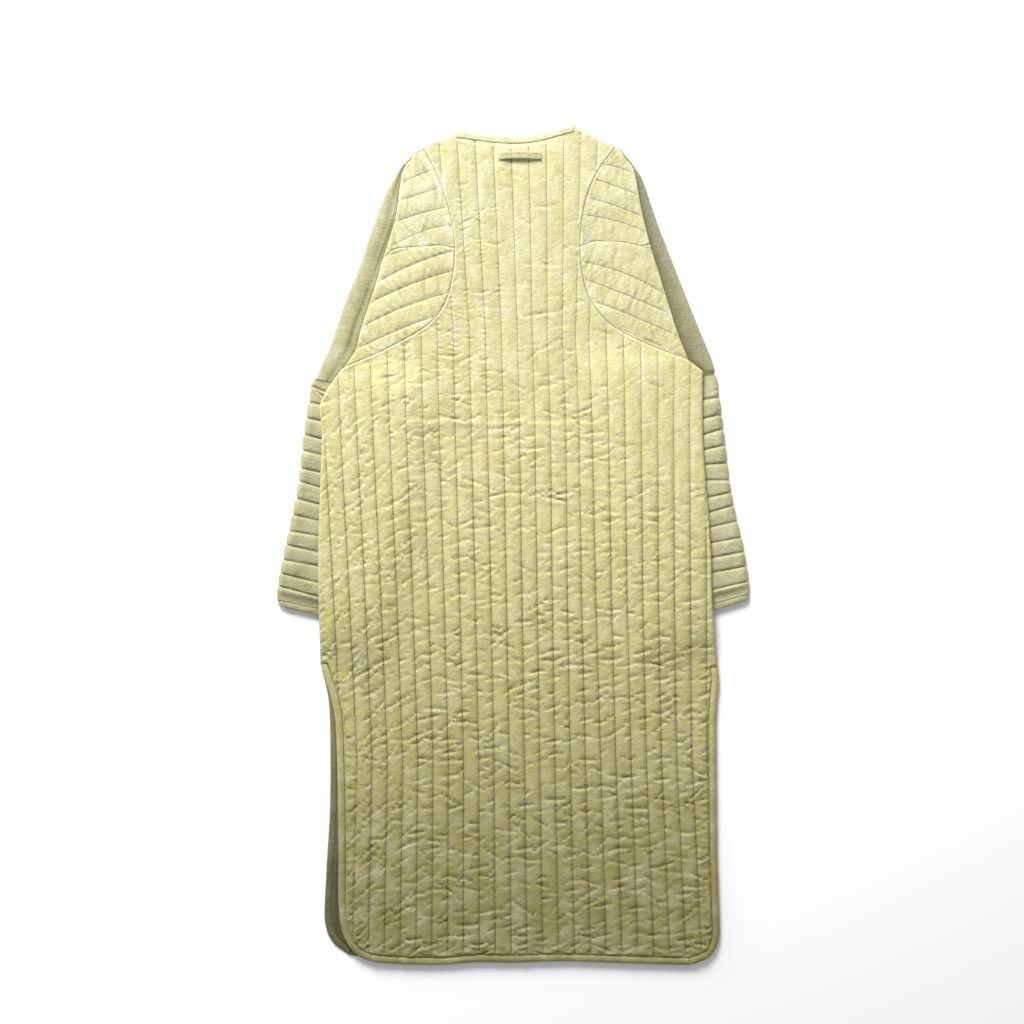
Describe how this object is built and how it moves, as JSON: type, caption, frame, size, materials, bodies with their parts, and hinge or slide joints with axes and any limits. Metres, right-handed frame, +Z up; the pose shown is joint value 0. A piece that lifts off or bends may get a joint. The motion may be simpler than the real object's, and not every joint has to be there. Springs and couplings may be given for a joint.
{
  "type": "quilted coat",
  "caption": "Long collarless coat quilted in lengthwise channels, laid flat with its back up, wide sleeve tops, side slits and a hanging loop.",
  "frame": {"origin": "centre of the coat's outline, on the surface that it lies on", "axes": "+Y towards the collar, +X to the right seen from above, +Z up out of the surface; the back panel is on top"},
  "size_m": [0.6663, 1.1741, 0.0181],
  "materials": {
    "velvet": "quilted cotton velvet, pale yellow-green, soft mottled nap",
    "binding": "folded velvet binding, pale yellow-green"
  },
  "bodies": {
    "root": {"back": "velvet", "neck_band": "velvet", "hanger_loop": "velvet", "sleeve_back_upper_left": "velvet", "sleeve_back_upper_right": "velvet", "sleeve_back_lower_left": "velvet", "sleeve_back_lower_right": "velvet", "sleeve_top_left": "velvet", "sleeve_top_right": "velvet", "sleeve_front_left": "velvet", "sleeve_front_right": "velvet", "sleeve_lower_left": "velvet", "sleeve_lower_right": "velvet", "cuff_left": "binding", "cuff_right": "binding", "front_left": "velvet", "front_right": "velvet", "slit_binding_left": "binding", "slit_binding_right": "binding", "hem_binding": "binding", "front_slit_binding_left": "binding", "front_slit_binding_right": "binding", "front_hem_binding_left": "binding", "front_hem_binding_right": "binding", "front_edge_binding_left": "binding", "front_edge_binding_right": "binding", "front_neck_binding_left": "binding", "front_neck_binding_right": "binding"}
  },
  "joints": []
}
